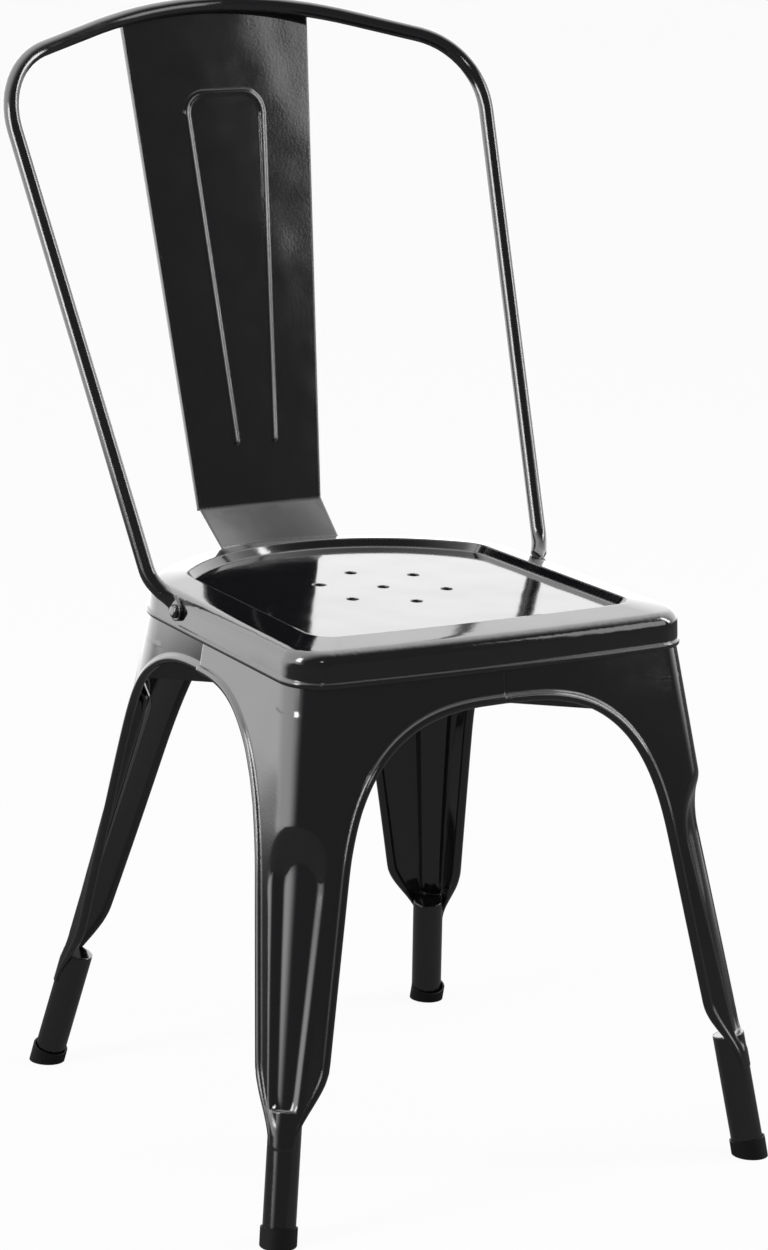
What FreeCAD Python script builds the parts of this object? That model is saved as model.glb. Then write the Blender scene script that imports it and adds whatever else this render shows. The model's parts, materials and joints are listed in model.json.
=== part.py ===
import FreeCAD, Part
import math
import os
import re
import Sketcher

# A rigid stacking chair pressed from sheet steel: a stamped seat pan on four fluted sheet legs,
# a bent tube hoop with a pressed splat for the back, and two strips crossed under the seat.
# Millimetres, +Z up, the chair faces -Y. The seat is centred on X = 0, and the whole chair is
# set back by origin_shift so that the origin lies under the middle of its bounding box.

V = FreeCAD.Vector
doc = FreeCAD.newDocument("Chair")
sheet = doc.addObject("Spreadsheet::Sheet", "Sizes")

SIZES = {
    # Whole chair.
    "origin_shift": -35.6,
    "sheet_wall": 1.5,
    "lap_gap": 0.3,
    "butt_gap": 0.3,
    # Seat pan. Its outline is four corner circles joined by tangent lines and two long arcs.
    "lip_height": 402.6,
    "crest_height": 431.0,
    "band_fall": 4.5,
    "floor_drop": 6.5,
    "front_corner_across": 144.0,
    "front_corner_back": -133.0,
    "front_corner_round": 30.0,
    "rear_corner_across": 106.0,
    "rear_corner_back": 70.3,
    "rear_corner_round": 60.0,
    "front_sweep": 2500.0,
    "rear_sweep": 208.0,
    "skirt_draft": 1.5,
    "shoulder_round": 10.0,
    "crest_inset": 30.0,
    "crest_corner_across": 122.0,
    "crest_corner_back": -111.0,
    "crest_corner_round": 20.0,
    "recess_slope": 5.0,
    "recess_round": 2.5,
    "bead_height": 4.6,
    "bead_proud": 1.4,
    "drain_bore": 9.0,
    "drain_ring": 49.4,
    "drain_back": 9.8,
    # Legs: faces, hems, arches and the flute in the corner.
    "leg_top": 408.5,
    "leg_end": 70.0,
    "side_meet": -5.0,
    "hem_proud": 1.0,
    "hem_width": 8.0,
    "front_foot_across": 225.5,
    "front_foot_back": -234.0,
    "rear_foot_across": 194.5,
    "rear_foot_back": 219.5,
    "foot_corner_round": 12.5,
    "end_arch_top": 379.0,
    "side_arch_top": 385.0,
    "arch_crown": 450.0,
    "arch_high_level": 290.0,
    "arch_low_level": 100.0,
    "front_arch_high": 139.5,
    "front_arch_low": 177.0,
    "front_arch_corner": 62.0,
    "rear_arch_high": 115.0,
    "rear_arch_low": 151.0,
    "rear_arch_corner": 60.0,
    "side_front_high": 124.5,
    "side_front_low": 182.0,
    "side_front_corner": 75.0,
    "side_rear_high": 83.0,
    "side_rear_low": 155.0,
    "side_rear_corner": 50.0,
    "lobe_round": 20.0,
    "arch_cut_start": 45.0,
    "arch_cut_length": 260.0,
    "flute_low_level": 110.0,
    "flute_high_level": 285.0,
    "flute_low_round": 17.8,
    "flute_high_round": 51.0,
    "flute_low_out": 3.7,
    "flute_high_out": 17.0,
    # Foot tubes and caps.
    "tube_round": 12.5,
    "tube_proud": 0.3,
    "tube_top": 84.0,
    "tube_scarf": 20.0,
    "slit_width": 2.4,
    "slit_foot": 34.0,
    "cap_height": 13.5,
    "cap_wall": 1.4,
    "cap_floor": 6.5,
    "cap_gap": 0.1,
    # Back hoop: half of its route, as corner points with a bend at each.
    "hoop_tube_radius": 6.35,
    "hoop_wall": 1.5,
    "hoop_foot_across": 178.8,
    "hoop_foot_back": 62.0,
    "hoop_foot_level": 436.0,
    "hoop_foot_bend": 32.0,
    "hoop_corner_across": 222.1,
    "hoop_corner_back": 250.0,
    "hoop_corner_level": 806.0,
    "hoop_corner_bend": 66.0,
    "hoop_crown_across": 60.0,
    "hoop_crown_back": 296.0,
    "hoop_crown_level": 843.65,
    "hoop_crown_bend": 345.0,
    "hoop_stand_off": 0.6,
    # Flattened ends of the hoop and their fasteners.
    "bolt_back": 36.6,
    "bolt_level": 415.0,
    "tab_climb": 36.9,
    "tab_width": 15.0,
    "tab_wall": 2.6,
    "tab_gap": 0.3,
    "tab_neck_start": 8.0,
    "tab_neck_end": 19.0,
    "bolt_radius": 3.0,
    "bolt_gap": 0.2,
    "bolt_length": 14.0,
    "bolt_head_radius": 5.4,
    "bolt_head_height": 3.0,
    "press_gap": 0.1,
    "washer_gap": 0.45,
    "washer_radius": 5.6,
    "washer_wall": 1.2,
    "nut_flats": 10.0,
    "nut_height": 5.0,
    # Back splat, in its panel's own plane, and the flange that carries it.
    "splat_crease_back": 202.5,
    "splat_crease_level": 450.0,
    "head_gap": 0.4,
    "splat_height": 406.5,
    "splat_foot_half": 56.6,
    "splat_head_half": 86.7,
    "splat_head_round": 700.0,
    "splat_depth": 4.5,
    "splat_wall": 1.5,
    "rib_radius": 4.0,
    "rib_proud": 1.4,
    "rib_foot": 52.0,
    "rib_head": 334.0,
    "rib_foot_half": 17.5,
    "rib_head_half": 36.0,
    "rib_corner": 17.0,
    "splat_flange_half": 54.0,
    "splat_flange_top": 425.0,
    "splat_flange_foot": 405.3,
    # Cross braces under the seat.
    "brace_level": 346.0,
    "brace_height": 26.0,
    "brace_wall": 2.0,
    "brace_gap": 0.2,
    "brace_drop": 6.0,
    "brace_tab": 28.0,
    "brace_tab_start": 4.0,
    "brace_reach": 60.0,
}


def sized(text):
    """Point each named size in an expression at the sheet."""
    return re.sub(r"\b[a-z][a-z_]+\b", lambda m: "Sizes." + m[0] if m[0] in SIZES else m[0], text)


for row, (alias, value) in enumerate(SIZES.items(), start=1):
    sheet.set("A%d" % row, alias)
    sheet.set("B%d" % row, str(value))
    sheet.setAlias("B%d" % row, alias)
doc.recompute()


def number(text):
    """Work out an expression of named sizes."""
    result = sheet.evalExpression(sized(str(text)))
    return float(getattr(result, "Value", result))


def bind(item, **sizes):
    """Bind properties of an object to expressions of named sizes."""
    for prop, text in sizes.items():
        item.setExpression(prop.replace("__", "."), sized(str(text)))
    return item


def add(kind, name, **sizes):
    return bind(doc.addObject(kind, name), **sizes)


def boolean(kind, name, base, tool):
    item = doc.addObject("Part::" + kind, name)
    item.Base = base
    item.Tool = tool
    return item


def fuse(name, *shapes):
    item = doc.addObject("Part::MultiFuse", name)
    item.Shapes = list(shapes)
    return item


def mirror(name, source, normal):
    item = doc.addObject("Part::Mirroring", name)
    item.Source = source
    item.Normal = normal
    return item


def settle():
    """Recompute, and stop at the first object that failed."""
    doc.recompute()
    for item in doc.Objects:
        if "Invalid" in item.State or "Error" in item.State:
            raise RuntimeError("%s failed to build" % item.Name)


def flat_sketch(name, level):
    """An empty sketch in the horizontal plane at a height."""
    sketch = doc.addObject("Sketcher::SketchObject", name)
    sketch.Placement = FreeCAD.Placement(V(0, 0, number(level)), FreeCAD.Rotation())
    bind(sketch, Placement__Base__z=level)
    return sketch


def upright_sketch(name, facing):
    """An empty sketch standing up: facing the front, or facing the side with +X towards the rear."""
    sketch = doc.addObject("Sketcher::SketchObject", name)
    turn = FreeCAD.Rotation(V(1, 0, 0), 90)
    if facing == "side":
        turn = FreeCAD.Rotation(V(0, 0, 1), 90) * turn
    sketch.Placement = FreeCAD.Placement(V(), turn)
    return sketch


def fix(sketch, kind, text, *picks):
    """Add a dimension whose value is bound to an expression of named sizes."""
    index = sketch.addConstraint(Sketcher.Constraint(kind, *picks, number(text)))
    label = "size_%d" % index
    sketch.renameConstraint(index, label)
    sketch.setExpression("Constraints." + label, sized(str(text)))


def join(sketch, kind, first, second):
    """Join the end of one edge to the start of the next, plainly or as a tangent."""
    sketch.addConstraint(Sketcher.Constraint(kind, first, 2, second, 1))


def arc(sketch, centre, radius, start, end):
    """An arc that runs anticlockwise between the directions of two points."""
    angles = [math.atan2(p.y - centre.y, p.x - centre.x) for p in (start, end)]
    if angles[1] < angles[0]:
        angles[1] += 2 * math.pi
    return sketch.addGeometry(Part.ArcOfCircle(Part.Circle(centre, V(0, 0, 1), radius), *angles))


def line(sketch, start, end):
    return sketch.addGeometry(Part.LineSegment(start, end))


def towards(start, end, distance):
    """The point at a distance from one point in the direction of another."""
    return start + (end - start).normalize() * distance


def loft(name, sections, ruled=True):
    item = doc.addObject("Part::Loft", name)
    item.Sections = sections
    item.Solid = True
    item.Ruled = ruled
    return item


# Seat pan.

SEAT_OUTLINE = {
    "front": ("front_corner_across", "front_corner_back", "front_corner_round"),
    "rear": ("rear_corner_across", "rear_corner_back", "rear_corner_round"),
}
CREST_OUTLINE = {
    "front": ("crest_corner_across", "crest_corner_back", "crest_corner_round"),
    "rear": ("rear_corner_across", "rear_corner_back", "rear_corner_round - crest_inset"),
}


def seat_outline(name, level, inset="0", form=SEAT_OUTLINE, sweep_inset="0"):
    """The D plan of the seat, drawn in by an inset: arcs keep their centres and lose radius."""
    sketch = flat_sketch(name, level)
    across_f, back_f, round_f = form["front"]
    across_r, back_r, round_r = form["rear"]
    round_f = "%s - (%s)" % (round_f, inset)
    round_r = "%s - (%s)" % (round_r, inset)
    sweep_f = "front_sweep - (%s) - (%s)" % (inset, sweep_inset)
    sweep_r = "rear_sweep - (%s) - (%s)" % (inset, sweep_inset)
    front = V(number(across_f), number(back_f))
    rear = V(number(across_r), number(back_r))
    rf, rr, big_f, big_r = (number(t) for t in (round_f, round_r, sweep_f, sweep_r))
    centre_f = V(0, front.y + math.sqrt((big_f - rf) ** 2 - front.x ** 2))
    centre_r = V(0, rear.y - math.sqrt((big_r - rr) ** 2 - rear.x ** 2))
    span = rear - front
    lean = math.atan2(-span.x, span.y) - math.asin((rr - rf) / span.Length)
    out = V(math.cos(lean), math.sin(lean))
    flip = lambda p: V(-p.x, p.y)
    nose = towards(centre_f, front, big_f)
    tail = towards(centre_r, rear, big_r)
    edge_f = front + out * rf
    edge_r = rear + out * rr
    arc(sketch, centre_f, big_f, flip(nose), nose)
    arc(sketch, front, rf, nose, edge_f)
    line(sketch, edge_f, edge_r)
    arc(sketch, rear, rr, edge_r, tail)
    arc(sketch, centre_r, big_r, tail, flip(tail))
    arc(sketch, flip(rear), rr, flip(tail), flip(edge_r))
    line(sketch, flip(edge_r), flip(edge_f))
    arc(sketch, flip(front), rf, flip(edge_f), flip(nose))
    for edge in range(8):
        join(sketch, "Tangent", edge, (edge + 1) % 8)
    for edge, across, back, size in ((1, across_f, back_f, round_f), (3, across_r, back_r, round_r)):
        for index, sign in ((edge, ""), (8 - edge, "-")):
            fix(sketch, "DistanceX", "%s(%s)" % (sign, across), -1, 1, index, 3)
            fix(sketch, "DistanceY", back, -1, 1, index, 3)
            fix(sketch, "Radius", size, index)
    fix(sketch, "Radius", sweep_f, 0)
    fix(sketch, "Radius", sweep_r, 4)
    return sketch


def seat_dome(name, shrink):
    """The pan's outer form, or the same form drawn in by the wall: skirt, rounded shoulder, crest."""
    foot = "lip_height" if shrink == "0" else "lip_height - sheet_wall"
    lip = seat_outline(name + "_lip", foot, shrink)
    shoulder = seat_outline(
        name + "_shoulder", "crest_height - band_fall - (%s)" % shrink, "skirt_draft + (%s)" % shrink)
    crest = seat_outline(
        name + "_crest", "crest_height - (%s)" % shrink, shrink, CREST_OUTLINE, "crest_inset")
    body = loft(name + "_form", [lip, shoulder, crest])
    settle()
    level = number("crest_height - band_fall - (%s)" % shrink)
    rounded = doc.addObject("Part::Fillet", name + "_rounded")
    rounded.Base = body
    size = number("shoulder_round - (%s)" % shrink)
    rounded.Edges = [(i, size, size) for i, e in enumerate(body.Shape.Edges, start=1)
                     if all(abs(v.Z - level) < 0.01 for v in e.Vertexes)]
    return rounded


def recess(name, grow):
    """The shallow dish in the top of the pan, or the same dish grown by the wall."""
    floor = seat_outline(name + "_floor", "crest_height - floor_drop - (%s)" % grow,
                         "recess_slope - (%s)" % grow, CREST_OUTLINE, "crest_inset")
    rim = seat_outline(name + "_rim", "crest_height + 0.01", "0 - (%s)" % grow, CREST_OUTLINE,
                       "crest_inset")
    return loft(name, [floor, rim])


def seat_pan():
    outer = seat_dome("pan_outer", "0")
    inner = seat_dome("pan_inner", "sheet_wall")
    dish = recess("dish", "0")
    dish_wall = recess("dish_wall", "sheet_wall")
    dished = boolean("Cut", "pan_dished", outer, dish)
    hollow = boolean("Cut", "pan_hollow", inner, dish_wall)
    shell = boolean("Cut", "pan_shell", dished, hollow)
    low = seat_outline("bead_low", "lip_height - bead_height / 2", "0 - bead_proud")
    high = seat_outline("bead_high", "lip_height + bead_height / 2", "0 - bead_proud")
    bead_low = seat_outline("bead_bore_low", "lip_height - bead_height", "sheet_wall")
    bead_high = seat_outline("bead_bore_high", "lip_height + bead_height", "sheet_wall")
    bead = loft("bead_form", [low, high])
    settle()
    rolled = doc.addObject("Part::Fillet", "bead_rolled")
    rolled.Base = bead
    size = number("bead_proud")
    rolled.Edges = [(i, size, size) for i, e in enumerate(bead.Shape.Edges, start=1)
                    if len({round(v.Z, 3) for v in e.Vertexes}) == 1]
    ring = boolean("Cut", "bead", rolled, loft("bead_bore", [bead_low, bead_high]))
    holes = []
    for index in range(7):
        hole = add("Part::Cylinder", "drain_%d" % index, Radius="drain_bore / 2",
                   Height="floor_drop + 10 * sheet_wall")
        turn = "30 + 60 * %d" % index
        reach = "drain_ring" if index else "0"
        bind(hole, Placement__Base__x="%s * cos(%s)" % (reach, turn),
             Placement__Base__y="drain_back + %s * sin(%s)" % (reach, turn),
             Placement__Base__z="crest_height - floor_drop - 4 * sheet_wall")
        holes.append(hole)
    return boolean("Cut", "pan_drained", fuse("pan_with_bead", shell, ring), fuse("drains", *holes))


# Legs. Each is drawn at the front left, outward side towards -Y; the rear ones are then turned about.

INSET = "(sheet_wall + lap_gap)"
RIM = "(lip_height - bead_height / 2)"
TAPER = ("(atan((front_corner_across - rear_corner_across) / (rear_corner_back - front_corner_back))"
         " - asin((rear_corner_round - front_corner_round) / sqrt((rear_corner_back - front_corner_back)"
         "^2 + (front_corner_across - rear_corner_across)^2)))")

FRONT = {
    "name": "front",
    "across": "front_corner_across",
    "back": "(0 - front_corner_back)",
    "round": "front_corner_round",
    "sweep": "front_sweep",
    "foot_across": "front_foot_across",
    "foot_back": "(0 - front_foot_back)",
    "meet": "side_meet",
    "tilt": "1",
    "fractions": (0.0, 0.12, 0.3, 0.5),
}
REAR = {
    "name": "rear",
    "across": "rear_corner_across",
    "back": "rear_corner_back",
    "round": "rear_corner_round",
    "sweep": "rear_sweep",
    "foot_across": "rear_foot_across",
    "foot_back": "rear_foot_back",
    "meet": "(0 - side_meet)",
    "tilt": "(0 - 1)",
    "fractions": (0.0, 0.12, 0.25, 0.4, 0.58),
}


def corner_across(end, share):
    """Half width at the sharp corner of a leg's two faces, at a share of the way down."""
    lip = "(%s + %s - %s)" % (end["across"], end["round"], INSET)
    return "(%s + (%s - %s) * %.5f)" % (lip, end["foot_across"], lip, share)


def lip_back(end):
    """How far out from the seat's middle that corner is at the lip."""
    reach = "(%s - %s)" % (end["sweep"], end["round"])
    apex = "(%s - sqrt(%s^2 - %s^2) + %s - %s)" % (
        end["back"], reach, end["across"], end["sweep"], INSET)
    sweep = "(%s - %s)" % (end["sweep"], INSET)
    across = corner_across(end, 0)
    return "(%s - %s + sqrt(%s^2 - %s^2))" % (apex, sweep, sweep, across)


def corner_back(end, share):
    lip = lip_back(end)
    return "(%s + (%s - %s) * %.5f)" % (lip, end["foot_back"], lip, share)


def corner_point(end, share):
    """The sharp corner of the front left form, at a share of the way from the lip to the floor."""
    level = number(RIM) * (1 - share)
    return V(-number(corner_across(end, share)), -number(corner_back(end, share)), level)


def block_section(name, end, share, grow, reach):
    """A quarter of the chair's plan inside the leg's faces: meeting line, side, corner, face, middle."""
    bend = max(min((1 - share) ** 3, 1.0), 0.01)
    ease = min((1 - share) ** 2, 1.0)
    sketch = flat_sketch(name, "%s * %.5f" % (RIM, 1 - share))
    across = corner_across(end, share)
    back = corner_back(end, share)
    sweep = "(%s - %s) / %.5f" % (end["sweep"], INSET, bend)
    apex = "(%s + %s - sqrt((%s)^2 - %s^2) + %s)" % (back, sweep, sweep, across, grow)
    sweep = "(%s + %s)" % (sweep, grow)
    radius = "(foot_corner_round + (%s - %s - foot_corner_round) * %.5f + %s)" % (
        end["round"], INSET, ease, grow)
    meet = "(%s - butt_gap / 2 + %s)" % (end["meet"], reach)
    middle = "(0 - butt_gap / 2 + %s)" % reach
    tilt = "(%s * %s)" % (end["tilt"], TAPER)
    side = "(%s - (%s + %s) * tan(%s) + %s / cos(%s))" % (across, back, meet, tilt, grow, tilt)
    x_side, y_meet, x_mid, y_apex, big, small = (
        number(text) for text in (side, meet, middle, apex, sweep, radius))
    angle = math.radians(number(tilt))
    centre = V(0, big - y_apex)
    down = V(-math.sin(angle), -math.cos(angle))
    inward = V(math.cos(angle), -math.sin(angle))
    start = V(-x_side, y_meet) + inward * small
    offset = start - centre
    along = -offset.dot(down) + math.sqrt(
        offset.dot(down) ** 2 - offset.Length ** 2 + (big - small) ** 2)
    pivot = start + down * along
    turn_in = pivot - inward * small
    turn_out = towards(centre, pivot, big)
    face_end = V(x_mid, centre.y - math.sqrt(big ** 2 - x_mid ** 2))
    line(sketch, V(x_mid, y_meet), V(-x_side, y_meet))
    line(sketch, V(-x_side, y_meet), turn_in)
    arc(sketch, pivot, small, turn_in, turn_out)
    arc(sketch, centre, big, turn_out, face_end)
    line(sketch, face_end, V(x_mid, y_meet))
    for kind, edge in (("Coincident", 0), ("Tangent", 1), ("Tangent", 2), ("Coincident", 3),
                       ("Coincident", 4)):
        join(sketch, kind, edge, (edge + 1) % 5)
    sketch.addConstraint(Sketcher.Constraint("Horizontal", 0))
    sketch.addConstraint(Sketcher.Constraint("Vertical", 4))
    fix(sketch, "DistanceX", middle, -1, 1, 0, 1)
    fix(sketch, "DistanceY", meet, -1, 1, 0, 1)
    fix(sketch, "DistanceX", "0 - %s" % side, -1, 1, 0, 2)
    fix(sketch, "DistanceX", "0", -1, 1, 3, 3)
    fix(sketch, "DistanceY", "%s - %s" % (sweep, apex), -1, 1, 3, 3)
    fix(sketch, "Radius", sweep, 3)
    fix(sketch, "Radius", radius, 2)
    sketch.addConstraint(Sketcher.Constraint("Angle", -1, 1, 1, 1, math.radians(270) - angle))
    sketch.setExpression("Constraints[%d]" % (sketch.ConstraintCount - 1),
                         sized("270 deg - %s" % tilt))
    return sketch


def block(name, end, grow="0", reach="0", top="leg_top", foot="leg_end"):
    """The solid quarter of the chair inside one leg's outer faces, grown or shrunk evenly."""
    first = 1 - number("(%s + %s) / %s" % (top, reach, RIM))
    last = 1 - number("(%s - %s) / %s" % (foot, reach, RIM))
    shares = [first] + [share for share in end["fractions"] if first < share < last] + [last]
    sections = [block_section("%s_section_%d" % (name, index), end, share, grow, reach)
                for index, share in enumerate(shares)]
    return loft(name, sections)


def arch_opening(name, face, form, grow="0"):
    """Half of an arched opening: crown, corner, sloping side, and a rounded lobe at the foot.

    It is drawn from the arch's middle outwards, and cut through the face that it belongs to.
    """
    top, crown, corner, high, low, lobe = (form[key] for key in
                                           ("top", "crown", "corner", "high", "low", "lobe"))
    slope = "atan((%s - %s) / (arch_high_level - arch_low_level))" % (low, high)
    distance = "(%s * cos(%s) + arch_high_level * sin(%s) + (%s))" % (high, slope, slope, grow)
    crown_size = "(%s + (%s))" % (crown, grow)
    corner_size = "(%s + (%s))" % (corner, grow)
    lobe_size = "(%s - (%s))" % (lobe, grow)
    foot = "(leg_end + (%s))" % grow
    phi = math.radians(number(slope))
    gap, big, small, turn, low_level = (
        number(text) for text in (distance, crown_size, corner_size, lobe_size, foot))
    centre = V(0, number("%s - %s" % (top, crown)))
    normal = V(-math.cos(phi), math.sin(phi))
    up = V(math.sin(phi), math.cos(phi))
    start = normal * (gap - small) - centre
    climb = -start.dot(up) + math.sqrt(start.dot(up) ** 2 - start.Length ** 2 + (big - small) ** 2)
    pivot = centre + start + up * climb
    side_high = pivot + normal * small
    shoulder = towards(centre, pivot, big)
    peak = centre + V(0, big)
    lobe_centre_level = low_level + turn
    lobe_centre = normal * (gap + turn)
    lobe_centre = lobe_centre + up * ((lobe_centre_level - lobe_centre.y) / up.y)
    side_low = lobe_centre - normal * turn
    lobe_foot = lobe_centre - V(0, turn)
    beyond, below, inside = -260.0, -20.0, 0.0
    sketch = upright_sketch(name + "_outline", face)
    arc(sketch, centre, big, peak, shoulder)
    arc(sketch, pivot, small, shoulder, side_high)
    line(sketch, side_high, side_low)
    arc(sketch, lobe_centre, turn, lobe_foot, side_low)
    line(sketch, lobe_foot, V(beyond, lobe_foot.y))
    line(sketch, V(beyond, lobe_foot.y), V(beyond, below))
    line(sketch, V(beyond, below), V(inside, below))
    line(sketch, V(inside, below), peak)
    join(sketch, "Tangent", 0, 1)
    join(sketch, "Tangent", 1, 2)
    sketch.addConstraint(Sketcher.Constraint("Tangent", 2, 2, 3, 2))
    sketch.addConstraint(Sketcher.Constraint("Tangent", 3, 1, 4, 1))
    for edge in (4, 5, 6):
        join(sketch, "Coincident", edge, edge + 1)
    sketch.addConstraint(Sketcher.Constraint("Coincident", 7, 2, 0, 1))
    for kind, edge in (("Horizontal", 4), ("Vertical", 5), ("Horizontal", 6), ("Vertical", 7)):
        sketch.addConstraint(Sketcher.Constraint(kind, edge))
    fix(sketch, "DistanceX", "0", -1, 1, 0, 3)
    fix(sketch, "DistanceX", "0", -1, 1, 7, 1)
    fix(sketch, "DistanceY", "%s - %s" % (top, crown), -1, 1, 0, 3)
    fix(sketch, "Radius", crown_size, 0)
    fix(sketch, "Radius", corner_size, 1)
    fix(sketch, "Radius", lobe_size, 3)
    fix(sketch, "Distance", distance, -1, 1, 2)
    fix(sketch, "DistanceY", foot, -1, 1, 4, 1)
    sketch.addConstraint(Sketcher.Constraint("Angle", -1, 1, 2, 1, math.radians(270) - phi))
    sketch.setExpression("Constraints[%d]" % (sketch.ConstraintCount - 1),
                         sized("270 deg - %s" % slope))
    fix(sketch, "DistanceX", "0 - 260", -1, 1, 5, 1)
    fix(sketch, "DistanceY", "0 - 20", -1, 1, 6, 1)
    opening = doc.addObject("Part::Extrusion", name)
    opening.Base = sketch
    opening.DirMode = "Custom"
    opening.Dir = V(0, -1, 0) if face == "front" else V(-1, 0, 0)
    opening.LengthFwd = number("arch_cut_length")
    bind(opening, LengthFwd="arch_cut_length")
    opening.Solid = True
    if face == "front":
        bind(sketch, Placement__Base__y="0 - arch_cut_start")
    else:
        bind(sketch, Placement__Base__x="0 - arch_cut_start", Placement__Base__y=form["meet"])
    return opening


def arch_form(end, face):
    """The named sizes of one arch, half of which belongs to each of two neighbouring legs."""
    prefix = "%s_arch_" % end["name"] if face == "front" else "side_%s_" % end["name"]
    form = {key: prefix + key for key in ("high", "low", "corner")}
    form["top"] = "end_arch_top" if face == "front" else "side_arch_top"
    form["crown"] = "arch_crown"
    form["lobe"] = "lobe_round"
    form["meet"] = end["meet"]
    return form


def tube_frame(end):
    """Where the foot tube stands: its centre on the floor, its lean, and its X towards the middle."""
    inset = number("tube_round - tube_proud")
    foot = corner_point(end, 1) + V(inset, inset, 0)
    top = corner_point(end, 0) + V(inset, inset, 0)
    lean = (top - foot).normalize()
    inward = V(1, 1, 0)
    inward = (inward - lean * inward.dot(lean)).normalize()
    return FreeCAD.Placement(foot, FreeCAD.Rotation(inward, lean.cross(inward), lean))


def placed(kind, name, frame, offset=None, **sizes):
    """A primitive that stands in a leg's own frame."""
    item = add("Part::" + kind, name, **sizes)
    item.Placement = frame.multiply(offset) if offset else frame
    return item


def flute(name, end, grow="0"):
    """The trough pressed into the leg's corner: two balls joined by the cone that touches both."""
    points = []
    for level, out in (("flute_low_level", "flute_low_out"), ("flute_high_level", "flute_high_out")):
        share = 1 - number("%s / %s" % (level, RIM))
        shift = number(out) / math.sqrt(2)
        points.append(corner_point(end, share) - V(shift, shift, 0))
    low, high = points
    low_size = "flute_low_round + (%s)" % grow
    high_size = "flute_high_round + (%s)" % grow
    length = (high - low).Length
    rise = number("flute_high_round - flute_low_round") / length
    shrink = math.sqrt(1 - rise ** 2)
    turn = FreeCAD.Rotation(V(0, 0, 1), high - low)
    base = low - (high - low).normalize() * (number(low_size) * rise)
    tip = high - (high - low).normalize() * (number(high_size) * rise)
    cone = placed("Cone", name + "_cone", FreeCAD.Placement(base, turn))
    bind(cone, Radius1="(%s) * %.6f" % (low_size, shrink), Radius2="(%s) * %.6f" % (high_size, shrink))
    cone.Height = (tip - base).Length
    foot_ball = placed("Sphere", name + "_foot", FreeCAD.Placement(low, turn), Radius=low_size)
    head_ball = placed("Sphere", name + "_head", FreeCAD.Placement(high, turn), Radius=high_size)
    return fuse(name, cone, foot_ball, head_ball)


def leg(end):
    name = "leg_" + end["name"]
    frame = tube_frame(end)
    cuts, bands = [], []
    for face in ("front", "side"):
        form = arch_form(end, face)
        cuts.append(arch_opening("%s_%s_opening" % (name, face), face, form))
        bands.append(arch_opening("%s_%s_hem" % (name, face), face, form, "hem_width"))
    skin = block(name + "_skin", end)
    proud = block(name + "_proud", end, "hem_proud")
    hems = boolean("Common", name + "_hems", proud, fuse(name + "_hem_bands", *bands))
    hemmed = fuse(name + "_hemmed", skin, hems)
    core = block(name + "_core", end, "(0 - sheet_wall)", "5")
    trough = flute(name + "_flute", end)
    trough_wall = flute(name + "_flute_wall", end, "sheet_wall")
    hollow = boolean("Cut", name + "_hollow", core, trough_wall)
    pressed = boolean("Cut", name + "_pressed", hemmed,
                      fuse(name + "_cuts", *cuts, trough, hollow))
    outer = placed("Cylinder", name + "_tube", frame, FreeCAD.Placement(V(0, 0, number("cap_floor")),
                   FreeCAD.Rotation()), Radius="tube_round", Height="tube_top * 1.6")
    bore = placed("Cylinder", name + "_bore", frame, Radius="tube_round - sheet_wall",
                  Height="tube_top * 2")
    scarf = placed("Box", name + "_scarf", frame,
                   FreeCAD.Placement(V(0, 0, number("tube_top")), FreeCAD.Rotation(V(0, 1, 0), number("tube_scarf")))
                   .multiply(FreeCAD.Placement(V(-60, -30, 0), FreeCAD.Rotation())),
                   Length="120", Width="60", Height="120")
    slit = placed("Box", name + "_slit", frame,
                  FreeCAD.Placement(V(5, -number("slit_width") / 2, number("slit_foot")),
                                    FreeCAD.Rotation()),
                  Length="20", Width="slit_width", Height="120")
    tube = boolean("Cut", name + "_foot_tube", outer, fuse(name + "_tube_cuts", bore, scarf, trough))
    return boolean("Cut", name, fuse(name + "_whole", pressed, tube), slit)


def foot_cap(end):
    name = "cap_" + end["name"]
    frame = tube_frame(end)
    sleeve = placed("Cylinder", name + "_sleeve", frame,
                    FreeCAD.Placement(V(0, 0, -20), FreeCAD.Rotation()),
                    Radius="tube_round + cap_gap + cap_wall", Height="20 + cap_height")
    socket = placed("Cylinder", name + "_socket", frame,
                    FreeCAD.Placement(V(0, 0, number("cap_floor")), FreeCAD.Rotation()),
                    Radius="tube_round + cap_gap", Height="cap_height * 2")
    ground = doc.addObject("Part::Box", name + "_ground")
    bind(ground, Length="100", Width="100", Height="100")
    ground.Placement = FreeCAD.Placement(frame.Base - V(50, 50, 100), FreeCAD.Rotation())
    return boolean("Cut", name, sleeve, fuse(name + "_cuts", socket, ground))


# Back hoop, with its two flattened ends bolted to the skirt.

def skirt_frame(side):
    """The hoop's bolt on the skirt's outer face: Z out of the skirt, X up towards the tube."""
    taper = number(TAPER)
    draft = math.degrees(math.atan(number("skirt_draft / (crest_height - band_fall - lip_height)")))
    outward = V(math.cos(math.radians(taper)), math.sin(math.radians(taper)),
                math.tan(math.radians(draft))).normalize()
    back, level = number("bolt_back"), number("bolt_level")
    across = number("front_corner_across + (front_corner_round - (bolt_back - front_corner_back)"
                    " * sin(%s)) / cos(%s)" % (TAPER, TAPER))
    across -= (level - number("lip_height")) * math.tan(math.radians(draft))
    climb = V(0, math.cos(math.radians(number("tab_climb"))), math.sin(math.radians(number("tab_climb"))))
    if side == "left":
        outward.x, across = -outward.x, -across
    climb = (climb - outward * climb.dot(outward)).normalize()
    turn = FreeCAD.Rotation(climb, outward.cross(climb), outward)
    return FreeCAD.Placement(V(across, back, level), turn)


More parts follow.
